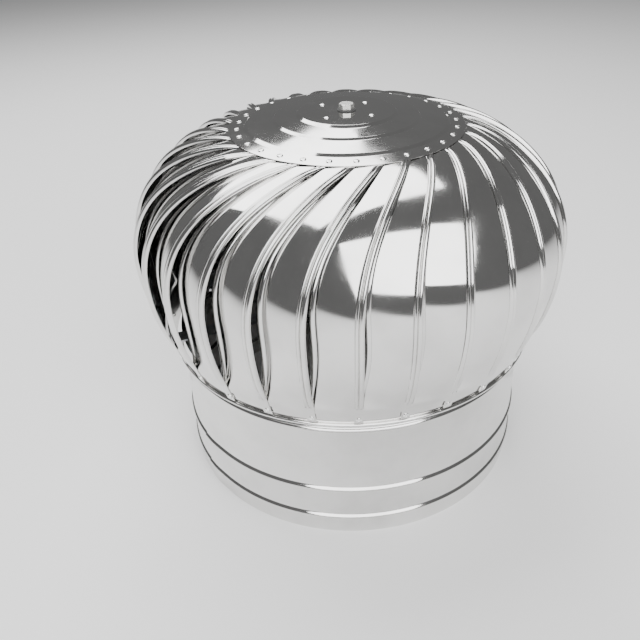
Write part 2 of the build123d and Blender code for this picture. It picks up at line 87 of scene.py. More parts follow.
class NodeDesk:
    """A short way to place and join the nodes of one tree."""

    def __init__(self, tree: bpy.types.NodeTree) -> None:
        """Keeps the tree that the nodes go into."""
        self.tree = tree

    def add(self, kind: str, **settings: object) -> bpy.types.Node:
        """Adds a node.

        Args:
            kind: the node's type name.
            settings: properties of the node, such as operation="ADD".

        Returns:
            The new node.
        """
        node = self.tree.nodes.new(kind)
        for name, value in settings.items():
            setattr(node, name, value)
        return node

    def feed(self, socket: bpy.types.NodeSocket, value: object) -> None:
        """Gives an input its value, or joins it to an output.

        Args:
            socket: the input.
            value: a number, a tuple, or another node's output.
        """
        if isinstance(value, bpy.types.NodeSocket):
            self.tree.links.new(value, socket)
        else:
            socket.default_value = value

    def math(self, operation: str, *values: object) -> bpy.types.NodeSocket:
        """Adds a Math node.

        Args:
            operation: the operation's name, such as "MULTIPLY".
            values: its inputs, as numbers or outputs.

        Returns:
            The result's output.
        """
        node = self.add("ShaderNodeMath", operation=operation)
        for socket, value in zip(node.inputs, values):
            self.feed(socket, value)
        return node.outputs[0]

    def noise(self, vector: object, scale: float, detail: float, rough: float = 0.5) -> object:
        """Adds a Noise Texture.

        Args:
            vector: the coordinates' output.
            scale: spots per metre.
            detail: number of finer layers.
            rough: strength of the finer layers.

        Returns:
            The factor's output.
        """
        node = self.add("ShaderNodeTexNoise")
        self.feed(node.inputs["Vector"], vector)
        self.feed(node.inputs["Scale"], scale)
        self.feed(node.inputs["Detail"], detail)
        self.feed(node.inputs["Roughness"], rough)
        return node.outputs["Fac"]

    def spread(self, value: object, low: object, high: object, to: tuple[float, float]) -> object:
        """Maps a value's range to another range, held at its ends.

        Args:
            value: the output to map.
            low: the value that becomes to[0].
            high: the value that becomes to[1].
            to: the new range.

        Returns:
            The mapped output.
        """
        node = self.add("ShaderNodeMapRange", clamp=True)
        for name, item in zip(("Value", "From Min", "From Max", "To Min", "To Max"),
                              (value, low, high, *to)):
            self.feed(node.inputs[name], item)
        return node.outputs["Result"]

    def blend(self, factor: object, first: object, second: object, mode: str = "MIX") -> object:
        """Mixes two colours.

        Args:
            factor: how much of the second colour shows.
            first: the first colour.
            second: the second colour.
            mode: the blend type's name.

        Returns:
            The mixed colour's output.
        """
        node = self.add("ShaderNodeMix", data_type="RGBA", blend_type=mode)
        self.feed(node.inputs["Factor"], factor)
        self.feed(node.inputs["A"], first)
        self.feed(node.inputs["B"], second)
        return node.outputs["Result"]

    def deliver(self, geometry: object, finish: object) -> None:
        """Ends a geometry tree: real meshes, with their finish, go to its output.

        Args:
            geometry: the output with the placed geometry.
            finish: the output with the material.
        """
        real = self.add("GeometryNodeRealizeInstances")
        self.feed(real.inputs[0], geometry)
        paint = self.add("GeometryNodeSetMaterial")
        self.feed(paint.inputs["Geometry"], real.outputs[0])
        self.feed(paint.inputs["Material"], finish)
        self.feed(self.add("NodeGroupOutput").inputs[0], paint.outputs[0])


class HandlingMarks:
    """Shader group of the marks on bright metal: smears, fine scratches and slack waves."""

    tree: bpy.types.NodeTree | None = None
    smear_edges: tuple[float, float] = (0.42, 0.72)
    scratch_edges: tuple[float, float] = (0.60, 0.68)
    scratch_stretch: tuple[float, float, float] = (1.0, 1.0, 0.06)
    scratch_depth: float = -0.01

    @classmethod
    def group(cls) -> bpy.types.NodeTree:
        """Builds the group once.

        Returns:
            The node group, with outputs Smear, Scratch and Height.
        """
        if cls.tree is not None:
            return cls.tree
        tree = bpy.data.node_groups.new("handling_marks", "ShaderNodeTree")
        for name, kind, value in (
            ("Smear Scale", "NodeSocketFloat", 14.0),
            ("Scratch Scale", "NodeSocketFloat", 260.0),
            ("Wave Scale", "NodeSocketFloat", 9.0),
            ("Wave Share", "NodeSocketFloat", 0.8),
        ):
            socket = tree.interface.new_socket(name, in_out="INPUT", socket_type=kind)
            socket.default_value = value
        for name in ("Smear", "Scratch", "Height"):
            tree.interface.new_socket(name, in_out="OUTPUT", socket_type="NodeSocketFloat")
        desk = NodeDesk(tree)
        given = desk.add("NodeGroupInput").outputs
        place = desk.add("ShaderNodeTexCoord").outputs["Object"]
        smear = desk.noise(place, given["Smear Scale"], 5.0, 0.6)
        smear = desk.spread(smear, *cls.smear_edges, (0.0, 1.0))
        drawn = desk.add("ShaderNodeMapping")
        desk.feed(drawn.inputs["Vector"], place)
        drawn.inputs["Scale"].default_value = cls.scratch_stretch
        fine = desk.noise(drawn.outputs["Vector"], given["Scratch Scale"], 3.0, 0.7)
        scratch = desk.spread(fine, *cls.scratch_edges, (0.0, 1.0))
        wave = desk.noise(place, given["Wave Scale"], 1.0)
        height = desk.math("ADD", desk.math("MULTIPLY", wave, given["Wave Share"]),
                           desk.math("MULTIPLY", scratch, cls.scratch_depth))
        result = desk.add("NodeGroupOutput").inputs
        for name, value in (("Smear", smear), ("Scratch", scratch), ("Height", height)):
            desk.feed(result[name], value)
        cls.tree = tree
        return tree


# -------------------------------------------------------------------- finishes


@dataclass(frozen=True)
class MetalFinish:
    """A bare or plated metal, with its handling marks."""

    name: str
    bright: tuple[float, float, float]
    dull: tuple[float, float, float]
    roughness: float
    smear_roughness: float
    smear_scale: float = 14.0
    scratch_scale: float = 260.0
    wave_scale: float = 9.0
    wave_height: float = 0.0004
    scratch_roughness: float = 0.05

    def material(self) -> bpy.types.Material:
        """Builds the material, or gives the one already built."""
        return bpy.data.materials.get(self.name) or self._build()

    def _build(self) -> bpy.types.Material:
        """Builds the material from its nodes."""
        made = bpy.data.materials.new(self.name)
        made.use_nodes = True
        desk = NodeDesk(made.node_tree)
        shader = made.node_tree.nodes["Principled BSDF"]
        marks = desk.add("ShaderNodeGroup", node_tree=HandlingMarks.group())
        marks.inputs["Smear Scale"].default_value = self.smear_scale
        marks.inputs["Scratch Scale"].default_value = self.scratch_scale
        marks.inputs["Wave Scale"].default_value = self.wave_scale
        smear = marks.outputs["Smear"]
        desk.feed(shader.inputs["Base Color"],
                  desk.blend(smear, (*self.bright, 1.0), (*self.dull, 1.0)))
        rough = desk.spread(smear, 0.0, 1.0, (self.roughness, self.smear_roughness))
        scratched = desk.math("MULTIPLY", marks.outputs["Scratch"], self.scratch_roughness)
        desk.feed(shader.inputs["Roughness"], desk.math("ADD", rough, scratched))
        shader.inputs["Metallic"].default_value = 1.0
        bump = desk.add("ShaderNodeBump")
        bump.inputs["Distance"].default_value = self.wave_height
        desk.feed(bump.inputs["Height"], marks.outputs["Height"])
        desk.feed(shader.inputs["Normal"], bump.outputs["Normal"])
        return made


@dataclass(frozen=True)
class RubberFinish:
    """Black seal rubber with a dusty bloom."""

    name: str
    colour: tuple[float, float, float]
    bloom: tuple[float, float, float]
    dust_scale: float = 180.0
    dust_edges: tuple[float, float] = (0.4, 0.7)
    roughness: tuple[float, float] = (0.55, 0.8)

    def material(self) -> bpy.types.Material:
        """Builds the material, or gives the one already built."""
        if bpy.data.materials.get(self.name):
            return bpy.data.materials[self.name]
        made = bpy.data.materials.new(self.name)
        made.use_nodes = True
        desk = NodeDesk(made.node_tree)
        shader = made.node_tree.nodes["Principled BSDF"]
        place = desk.add("ShaderNodeTexCoord").outputs["Object"]
        dust = desk.spread(desk.noise(place, self.dust_scale, 4.0), *self.dust_edges, (0.0, 1.0))
        desk.feed(shader.inputs["Base Color"],
                  desk.blend(dust, (*self.colour, 1.0), (*self.bloom, 1.0)))
        desk.feed(shader.inputs["Roughness"], desk.spread(dust, 0.0, 1.0, self.roughness))
        return made


POLISHED_SHEET = MetalFinish("polished_stainless_sheet", (0.76, 0.755, 0.745), (0.66, 0.655, 0.645),
                             0.06, 0.16)
GALVANISED = MetalFinish("galvanised_flat_bar", (0.62, 0.64, 0.66), (0.40, 0.42, 0.44),
                         0.32, 0.5, smear_scale=60.0, wave_scale=120.0, wave_height=0.0002)
RIVET_STEEL = MetalFinish("drawn_rivet_steel", (0.92, 0.92, 0.91), (0.75, 0.75, 0.74),
                          0.14, 0.26, smear_scale=200.0)
BEARING_STEEL = MetalFinish("ground_bearing_steel", (0.80, 0.81, 0.83), (0.62, 0.63, 0.65),
                            0.10, 0.2, smear_scale=90.0)
ZINC_PLATE = MetalFinish("zinc_plated_steel", (0.72, 0.70, 0.62), (0.52, 0.50, 0.44),
                         0.25, 0.4, smear_scale=120.0, wave_height=0.0001)
SEAL_RUBBER = RubberFinish("seal_rubber", (0.015, 0.015, 0.016), (0.06, 0.058, 0.055))

SLOT_FINISH = {
    Slot.SHEET: POLISHED_SHEET,
    Slot.BAR: GALVANISED,
    Slot.RIVET: RIVET_STEEL,
    Slot.BEARING: BEARING_STEEL,
    Slot.ZINC: ZINC_PLATE,
    Slot.SEAL: SEAL_RUBBER,
}


# ------------------------------------------------------------------ mesh tools


def link(name: str, data: object) -> bpy.types.Object:
    """Makes an object of a mesh or curve and puts it in the scene."""
    made = bpy.data.objects.new(name, data)
    bpy.context.scene.collection.objects.link(made)
    return made


def settle(name: str, worker: bpy.types.Object) -> bpy.types.Object:
    """Turns a worked object into a plain mesh object at the origin.

    Args:
        name: the finished piece's name.
        worker: the object with its modifiers, which is taken away.

    Returns:
        The finished piece.
    """
    graph = bpy.context.evaluated_depsgraph_get()
    mesh = bpy.data.meshes.new_from_object(worker.evaluated_get(graph))
    bpy.data.objects.remove(worker)
    mesh.name = name
    mesh.polygons.foreach_set("use_smooth", [True] * len(mesh.polygons))
    mesh.set_sharp_from_angle(angle=CREASE_ANGLE)
    return link(name, mesh)


def hand_over(piece: bpy.types.Object, body: Body, slot: Slot, *nodes: str) -> None:
    """Rides a finished piece on its body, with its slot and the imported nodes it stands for."""
    finish = SLOT_FINISH[slot]
    if not piece.data.materials:
        piece.data.materials.append(finish.material())
    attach(piece, body.value)
    if nodes:
        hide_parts(*nodes)
    log.info("built %s with %s", piece.name, finish.name)


def input_keys(tree: bpy.types.NodeTree) -> dict[str, str]:
    """The key that a modifier uses for each named input of a tree."""
    return {item.name: item.identifier for item in tree.interface.items_tree
            if item.in_out == "INPUT"}


def rounded(corners: list[tuple[float, float, float]], steps: int = 6) -> list[tuple[float, float]]:
    """Rounds the corners of an open line.

    Args:
        corners: each corner as two coordinates and its radius.
        steps: points on each round.

    Returns:
        The line's points.
    """
    points = [corners[0][:2]]
    for before, here, after in zip(corners, corners[1:], corners[2:]):
        at, radius = Vector(here[:2]), here[2]
        if not radius:
            points.append(here[:2])
            continue
        back, on = (Vector(before[:2]) - at).normalized(), (Vector(after[:2]) - at).normalized()
        half = back.angle(on) / 2
        reach = radius / math.tan(half)
        middle = at + (back + on).normalized() * (radius / math.sin(half))
        first, last = at + back * reach - middle, at + on * reach - middle
        turn = first.angle_signed(last)
        for step in range(steps + 1):
            arm = first.copy()
            arm.rotate(Matrix.Rotation(-turn * step / steps, 2))
            points.append(tuple(middle + arm))
    return [*points, corners[-1][:2]]


def tangent_arc(start: Vector, heading: Vector, end: Vector, steps: int) -> tuple[list[Vector], Vector]:
    """Points of the arc that leaves one point along a heading and ends at another.

    Args:
        start: the first point, which isn't given back.
        heading: the unit direction at the start.
        end: the last point.
        steps: number of runs along the arc.

    Returns:
        The points after the start, and the heading at the end.
    """
    chord = end - start
    bend = 2 * heading.angle_signed(chord)
    points, way = [], start.copy()
    run = chord.length * math.sin(bend / 2 / steps) / math.sin(bend / 2)
    for step in range(steps):
        leg = heading.copy()
        leg.rotate(Matrix.Rotation(-bend * (step + 0.5) / steps, 2))
        way = way + leg * run
        points.append(way.copy())
    last = heading.copy()
    last.rotate(Matrix.Rotation(-bend, 2))
    return points, last


def turned(name: str, loop: list[tuple[float, float]], angles: list[float],
           swell: Callable[[float], float] | None = None) -> bpy.types.Object:
    """Turns a closed section round the upright axis.

    Args:
        name: the piece's name.
        loop: the section's points as (radius, height), anticlockwise with the axis on the left.
        angles: the places round the axis where the section is repeated.
        swell: extra radius at an angle.

    Returns:
        The finished piece.
    """
    points = []
    for angle in angles:
        extra = swell(angle) if swell else 0.0
        points += [((r + extra) * math.cos(angle), (r + extra) * math.sin(angle), z) for r, z in loop]
    size, turns = len(loop), len(angles)
    faces = []
    for turn in range(turns):
        here, ahead = turn * size, (turn + 1) % turns * size
        faces += [(here + i, ahead + i, ahead + (i + 1) % size, here + (i + 1) % size)
                  for i in range(size)]
    mesh = bpy.data.meshes.new(name)
    mesh.from_pydata(points, [], faces)
    return settle(name, link(name + "_blank", mesh))


def round_turn(steps: int) -> list[float]:
    """Even places round the axis."""
    return [2 * math.pi * step / steps for step in range(steps)]


# ---------------------------------------------------------------------- blades


@dataclass
class SwirlTree:
    """The node tree that wraps a flat blade round the skin of the head.

    The strip's points carry seven attributes: along, the distance down the skin;
    tuck, how far a point goes with the tucked edge; across, its distance from that
    edge or from the rib's middle; dip, hem and rib, its shares of the three rises;
    and sink, its depth in the sheet.
    """

    inputs: tuple[tuple[str, float], ...]
    name: str = "wrap_blade_round_skin"

    def build(self) -> bpy.types.NodeTree:
        """Builds the tree.

        Returns:
            The tree, with its sizes as named inputs.
        """
        tree = bpy.data.node_groups.new(self.name, "GeometryNodeTree")
        face = tree.interface
        face.new_socket("Geometry", in_out="INPUT", socket_type="NodeSocketGeometry")
        face.new_socket("Skin Line", in_out="INPUT", socket_type="NodeSocketObject")
        face.new_socket("Finish", in_out="INPUT", socket_type="NodeSocketMaterial")
        for name, value in self.inputs:
            socket = face.new_socket(name, in_out="INPUT", socket_type="NodeSocketFloat")
            socket.default_value = value
        face.new_socket("Geometry", in_out="OUTPUT", socket_type="NodeSocketGeometry")
        desk = NodeDesk(tree)
        given = desk.add("NodeGroupInput").outputs
        along, tuck, across, dip, hem, rib, sink = (
            self._attribute(desk, name)
            for name in ("along", "tuck", "across", "dip", "hem", "rib", "sink")
        )
        line = desk.add("GeometryNodeObjectInfo")
        desk.feed(line.inputs["Object"], given["Skin Line"])
        sample = desk.add("GeometryNodeSampleCurve", mode="LENGTH", use_all_curves=True)
        desk.feed(sample.inputs["Curves"], line.outputs["Geometry"])
        desk.feed(sample.inputs["Length"], desk.math("ADD", along, given["Skin Start"]))
        on_line, heading = desk.add("ShaderNodeSeparateXYZ"), desk.add("ShaderNodeSeparateXYZ")
        desk.feed(on_line.inputs[0], sample.outputs["Position"])
        desk.feed(heading.inputs[0], sample.outputs["Tangent"])
        radius, height = on_line.outputs["X"], on_line.outputs["Z"]
        lean_out = desk.math("MULTIPLY", heading.outputs["Z"], -1.0)
        lean_up = heading.outputs["X"]

        body = desk.math("SUBTRACT", given["Body Foot"], given["Body Top"])
        share = desk.math("DIVIDE", desk.math("SUBTRACT", along, given["Body Top"]), body)
        share = desk.spread(share, 0.0, 1.0, (0.0, 1.0))
        skewed = desk.math("POWER", share, given["Opening Skew"])
        opening = desk.math("SINE", desk.math("MULTIPLY", skewed, math.pi))
        opening = desk.math("MAXIMUM", opening, 0.0)
        dipped = desk.math("SQRT", opening)
        centred = desk.math("ABSOLUTE", desk.math("MULTIPLY_ADD", share, 2.0, -1.0))
        ends = desk.math("POWER", centred, given["Rib End Power"])
        rise = desk.math("MULTIPLY", desk.math("SUBTRACT", 1.0, ends), given["Rib Height"])
        swing = desk.math("ADD", given["Edge Overlap"], given["Edge Opening"])
        edge = desk.math("SUBTRACT", desk.math("MULTIPLY", swing, opening), given["Edge Overlap"])
        edge = desk.math("SUBTRACT", edge, desk.math("MULTIPLY", radius, given["Pitch"]))
        side = desk.math("MULTIPLY_ADD", edge, tuck, across)
        depth = desk.math("MULTIPLY_ADD", dipped, given["Tuck Depth"], given["Layer Step"])

        squared = desk.math("SUBTRACT", desk.math("POWER", radius, 2.0), desk.math("POWER", side, 2.0))
        drop = desk.math("SUBTRACT", radius, desk.math("SQRT", squared))
        up = desk.math("MULTIPLY", desk.math("MULTIPLY", lean_out, drop), -1.0)
        up = desk.math("SUBTRACT", up, desk.math("MULTIPLY", depth, dip))
        up = desk.math("ADD", up, desk.math("MULTIPLY", desk.math("MULTIPLY", dipped, hem),
                                            given["Hem Rise"]))
        up = desk.math("ADD", up, desk.math("MULTIPLY", rise, rib))
        up = desk.math("SUBTRACT", up, sink)

        left = desk.math("SUBTRACT", 1.0, desk.math("DIVIDE", along, given["Swirl Run"]))
        left = desk.spread(left, 0.0, 1.0, (0.0, 1.0))
        turned = desk.math("SUBTRACT", 1.0, desk.math("POWER", left, given["Swirl Power"]))
        turned = desk.math("MULTIPLY", turned, given["Swirl Angle"])
        angle = desk.math("SUBTRACT", given["Rivet Angle"], turned)
        flat = desk.add("ShaderNodeCombineXYZ")
        desk.feed(flat.inputs["X"], desk.math("MULTIPLY_ADD", up, lean_out, radius))
        desk.feed(flat.inputs["Y"], side)
        desk.feed(flat.inputs["Z"], desk.math("MULTIPLY_ADD", up, lean_up, height))
        turn = desk.add("ShaderNodeVectorRotate", rotation_type="Z_AXIS")
        desk.feed(turn.inputs["Vector"], flat.outputs[0])
        desk.feed(turn.inputs["Angle"], angle)

        place = desk.add("GeometryNodeSetPosition")
        desk.feed(place.inputs["Geometry"], given["Geometry"])
        desk.feed(place.inputs["Position"], turn.outputs[0])
        desk.deliver(place.outputs[0], given["Finish"])
        return tree

    def _attribute(self, desk: NodeDesk, name: str) -> object:
        """Reads one of the strip's attributes."""
        node = desk.add("GeometryNodeInputNamedAttribute", data_type="FLOAT")
        node.inputs["Name"].default_value = name
        return node.outputs["Attribute"]


@dataclass
class Blades:
    """The swirled blades, each one a flat pressed strip wrapped round the skin."""

    count: int = BLADE_COUNT
    sheet: float = 0.8 * MM
    first_angle: float = math.radians(247.6)
    rivet_circle: float = 141.7 * MM
    inner_radius: float = 133.0 * MM
    flange_end: tuple[float, float] = (154.0 * MM, 484.6 * MM)
    flange_slope: float = 0.153
    skin_arcs: tuple[tuple[float, float], ...] = (
        (241.5 * MM, 443.9 * MM), (290.8 * MM, 331.0 * MM), (277.3 * MM, 253.0 * MM))
    arc_steps: int = 48
    line_lead: float = 3.0 * MM
    skin_foot: float = 204.0 * MM
    panel_foot: float = 222.0 * MM
    flat_height: float = 232.0 * MM
    corner_foot: float = 205.5 * MM
    body_top: float = 11.0 * MM
    swirl_angle: float = math.radians(27.0)
    swirl_run: float = 230.0 * MM
    swirl_power: float = 2.5
    tuck_depth: float = 11.5 * MM
    layer_step: float = 1.0 * MM
    edge_opening: float = 10.0 * MM
    edge_overlap: float = 4.5 * MM
    opening_skew: float = 2.0
    hem_width: float = 7.0 * MM
    hem_rise: float = 1.6 * MM
    rib_width: float = 11.0 * MM
    rib_height: float = 3.5 * MM
    rib_valley: float = -0.8 * MM
    valley_share: float = 0.3
    rib_end_power: float = 12.0
    panel_bulge: float = 0.45
    bead_lean: float = 0.12
    corner_radius: float = 4.0 * MM
    foot_circle: float = 267.0 * MM
    rows: int = 100
    foot_rows: int = 8
    bead_steps: int = 7
    panel_steps: int = 12

    def flange_height(self, radius: float) -> float:
        """Height of the skin's run under the flange, at a radius."""
        return self.flange_end[1] + (self.flange_end[0] - radius) * self.flange_slope

    def foot_lean(self) -> float:
        """Angle by which the skin's foot leans in from upright, going down."""
        heading = Vector((1.0, -self.flange_slope)).normalized()
        start = Vector(self.flange_end)
        for mark in self.skin_arcs:
            heading = tangent_arc(start, heading, Vector(mark), 1)[1]
            start = Vector(mark)
        return math.atan2(-heading.x, -heading.y)

    def foot_radius(self, height: float) -> float:
        """Radius of the straight foot of the skin, at a height."""
        waist = self.skin_arcs[-1]
        return waist[0] - (waist[1] - height) * math.tan(self.foot_lean())

    def skin_line(self) -> tuple[bpy.types.Object, float, dict[str, float]]:
        """Draws the skin line that the blades follow.

        Returns:
            The line's object, its length up to the rivet circle, and the distances
            from the rivet circle to the marks at the foot.
        """
        inner = self.inner_radius - self.line_lead
        flange = Vector(self.flange_end)
        way = [Vector((inner, flange.y + (flange.x - inner) * self.flange_slope)), flange]
        start = (self.rivet_circle - inner) * math.hypot(1.0, self.flange_slope)
        heading = (way[1] - way[0]).normalized()
        for mark in self.skin_arcs:
            points, heading = tangent_arc(way[-1], heading, Vector(mark), self.arc_steps)
            way += points
        length = sum((b - a).length for a, b in zip(way, way[1:])) - start
        marks = {name: length + (way[-1].y - level) / -heading.y for name, level in
                 (("flat", self.flat_height), ("panel", self.panel_foot), ("corner", self.corner_foot))}
        way.append(way[-1] + heading * (way[-1].y - self.skin_foot) / -heading.y)
        curve = bpy.data.curves.new("skin_line", "CURVE")
        curve.dimensions = "3D"
        spline = curve.splines.new("POLY")
        spline.points.add(len(way) - 1)
        for point, place in zip(spline.points, way):
            point.co = (place.x, 0.0, place.y, 1.0)
        return link("skin_line", curve), start, marks

    def section(self) -> list[dict[str, float]]:
        """The strip's section as shares and sizes, from its tucked edge to its free edge."""
        half = self.rib_width / 2
        points = []
        for step in range(self.bead_steps + 1):
            share = step / self.bead_steps
            points.append({"tuck": 1.0, "across": self._bead(share, 0.0, self.hem_width),
                           "dip": 1.0, "hem": self._crest(share, 0.0, 0.0), "rib": 0.0})
        for step in range(1, self.panel_steps):
            share = (1 - math.cos(math.pi * step / self.panel_steps)) / 2
            left = 1.0 - share
            points.append({"tuck": left, "across": left * self.hem_width - share * half,
                           "dip": left**2 + share * left * (4.0 * self.panel_bulge - 1.0),
                           "hem": 0.0, "rib": 0.0})
        for first, last, low, high in ((-half, self.rib_valley, 0.0, self.valley_share),
                                       (self.rib_valley, half, self.valley_share, 0.0)):
            for step in range(self.bead_steps + 1):
                share = step / self.bead_steps
                points.append({"tuck": 0.0, "across": self._bead(share, first, last), "dip": 0.0,
                               "hem": 0.0, "rib": self._crest(share, low, high)})
        del points[-self.bead_steps - 1]
        return points

    def _bead(self, share: float, first: float, last: float) -> float:
        """Place across a pressed bead, at a share of its curve."""
        lean, left = self.bead_lean, 1.0 - share
        eased = 3 * left**2 * share * lean + 3 * left * share**2 * (1 - lean) + share**3
        return first + (last - first) * eased

    def _crest(self, share: float, low: float, high: float) -> float:
        """Rise on a pressed bead whose crest is 1, at a share of its curve."""
        left, pull = 1.0 - share, (8.0 - low - high) / 6.0
        return left**3 * low + 3 * left * share * pull + share**3 * high

    def strip(self, marks: dict[str, float]) -> bpy.types.Mesh:
        """Makes the flat strip of one blade as a closed shell.

        Args:
            marks: distances to the marks at the foot.

        Returns:
            The strip's mesh, with its attributes.
        """
        section = self.section()
        top = -(self.rivet_circle - self.inner_radius) * math.hypot(1.0, self.flange_slope)
        turn_row = self.rows - self.foot_rows
        shoulder = marks["panel"] - 2.0 * self.corner_radius
        ends = [self._foot_end(point, marks) for point in section]
        names = ("tuck", "across", "dip", "hem", "rib")
        values = {name: [] for name in ("along", "sink", *names)}
        for sink in (0.0, self.sheet):
            for row in range(self.rows + 1):
                for point, end in zip(section, ends):
                    if row <= turn_row:
                        along = top + (shoulder - top) * row / turn_row
                    else:
                        along = shoulder + (end - shoulder) * (row - turn_row) / self.foot_rows
                    values["along"].append(along)
                    values["sink"].append(sink)
                    for name in names:
                        values[name].append(point[name])
        wide, side = len(section), len(section) * (self.rows + 1)
        faces = []
        for row in range(self.rows):
            for column in range(wide - 1):
                a = row * wide + column
                faces.append((a, a + wide, a + wide + 1, a + 1))
                faces.append((side + a, side + a + 1, side + a + wide + 1, side + a + wide))
        rim = list(range(wide)) + [row * wide + wide - 1 for row in range(1, self.rows + 1)]
        rim += [self.rows * wide + column for column in range(wide - 2, -1, -1)]
        rim += [row * wide for row in range(self.rows - 1, 0, -1)]
        for first, last in zip(rim, rim[1:] + rim[:1]):
            faces.append((first, last, side + last, side + first))
        mesh = bpy.data.meshes.new("flat_blade")
        mesh.from_pydata([(0.0, 0.0, 0.0)] * (2 * side), [], faces)
        for name, numbers in values.items():
            mesh.attributes.new(name, "FLOAT", "POINT").data.foreach_set("value", numbers)
        return mesh

    def _foot_end(self, point: dict[str, float], marks: dict[str, float]) -> float:
        """Distance at which one column of the strip ends, at a riveted corner or the panel's edge."""
        spacing = self.foot_circle * 2 * math.pi / self.count
        place = point["across"] - point["tuck"] * (spacing + self.edge_overlap)
        tucked_side = place + spacing + self.edge_overlap
        corner = self.rib_width / 2 + self.edge_overlap
        gap = min(tucked_side - corner, -self.rib_width / 2 - place)
        if gap <= 0.0:
            return marks["corner"]
        sweep = max(self.corner_radius - gap, 0.0)
        return marks["panel"] + self.corner_radius - math.sqrt(self.corner_radius**2 - sweep**2)

    def build(self) -> None:
        """Wraps one strip for each blade and hands the blades over."""
        line, start, marks = self.skin_line()
        mesh = self.strip(marks)
        sizes = (
            ("Rivet Angle", self.first_angle), ("Skin Start", start), ("Body Top", self.body_top),
            ("Body Foot", marks["flat"]), ("Opening Skew", self.opening_skew),
            ("Rib End Power", self.rib_end_power), ("Rib Height", self.rib_height),
            ("Hem Rise", self.hem_rise), ("Edge Overlap", self.edge_overlap),
            ("Edge Opening", self.edge_opening), ("Pitch", 2 * math.pi / self.count),
            ("Tuck Depth", self.tuck_depth), ("Layer Step", self.layer_step),
            ("Swirl Angle", self.swirl_angle), ("Swirl Run", self.swirl_run),
            ("Swirl Power", self.swirl_power),
        )
        tree = SwirlTree(sizes).build()
        keys = input_keys(tree)
        finish = SLOT_FINISH[Slot.SHEET].material()
        for index in range(self.count):
            worker = link("blade_strip", mesh.copy())
            wrap = worker.modifiers.new("wrap", "NODES")
            wrap.node_group = tree
            wrap[keys["Skin Line"]] = line
            wrap[keys["Finish"]] = finish
            wrap[keys["Rivet Angle"]] = self.first_angle + index * 2 * math.pi / self.count
            node = f"blade_{index + 1:02d}"
            hand_over(settle(node + "_pressed", worker), Body.ROTOR, Slot.SHEET, node)
        bpy.data.objects.remove(line)


# ------------------------------------------------------- plate, ring and neck


@dataclass
class TopPlate:
    """The pressed disc over the blades: three steps, a sloped flange and rolled bends."""

    sheet: float = 1.0 * MM
    hole: float = 6.0 * MM
    height: float = 503.5 * MM
    steps: tuple[tuple[float, float], ...] = (
        (62.0 * MM, 0.0), (65.5 * MM, 3.0 * MM), (92.5 * MM, 5.5 * MM), (95.5 * MM, 8.0 * MM),
        (128.5 * MM, 11.5 * MM))
    fold: float = 132.5 * MM
    rim: float = 152.0 * MM
    bend: float = 0.9 * MM
    edge: float = 0.3 * MM
    seat_gap: float = 0.05 * MM
    turns: int = 360

    def build(self, skin: "Blades") -> None:
        """Turns the plate, seated on the blades' flange."""
        upper = [(self.hole, self.height, 0.0)]
        upper += [(radius, self.height - drop, self.bend) for radius, drop in self.steps]
        lift = (self.sheet + self.seat_gap) * math.hypot(1.0, skin.flange_slope)
        upper += [(radius, skin.flange_height(radius) + lift, bend)
                  for radius, bend in ((self.fold, self.bend), (self.rim, self.edge))]
        lower = [(radius, height - self.sheet, bend) for radius, height, bend in upper]
        loop = rounded([*lower, *reversed(upper), lower[0]])[:-1]
        plate = turned("top_plate_pressed", loop, round_turn(self.turns))
        hand_over(plate, Body.ROTOR, Slot.SHEET, "top_plate")


@dataclass
class LowerRing:
    """The flared band inside the blades' feet, its lower edge rolled into a hem."""

    sheet: float = 1.0 * MM
    foot: float = 200.0 * MM
    top: float = 228.0 * MM
    depth: float = 1.85 * MM
    hem: float = 2.4 * MM
    hem_offset: float = 0.96 * MM
    hem_steps: int = 22
    turns: int = 360

    def build(self, skin: "Blades") -> None:
        """Turns the ring, under the blades' feet."""
        outer = [(skin.foot_radius(height) - self.depth, height) for height in (self.foot, self.top)]
        centre = (outer[0][0] + self.hem_offset, self.foot)
        first = 2 * math.pi - math.acos(-(self.hem_offset + self.sheet) / self.hem)
        last = 2 * math.pi + math.acos(-self.hem_offset / self.hem)
        loop = []
        for step in range(self.hem_steps + 1):
            angle = first + (last - first) * step / self.hem_steps
            loop.append((centre[0] + self.hem * math.cos(angle), centre[1] + self.hem * math.sin(angle)))
        loop += [outer[1], (outer[1][0] - self.sheet, self.top)]
        ring = turned("lower_ring_rolled", loop, round_turn(self.turns))
        hand_over(ring, Body.ROTOR, Slot.SHEET, "lower_ring")


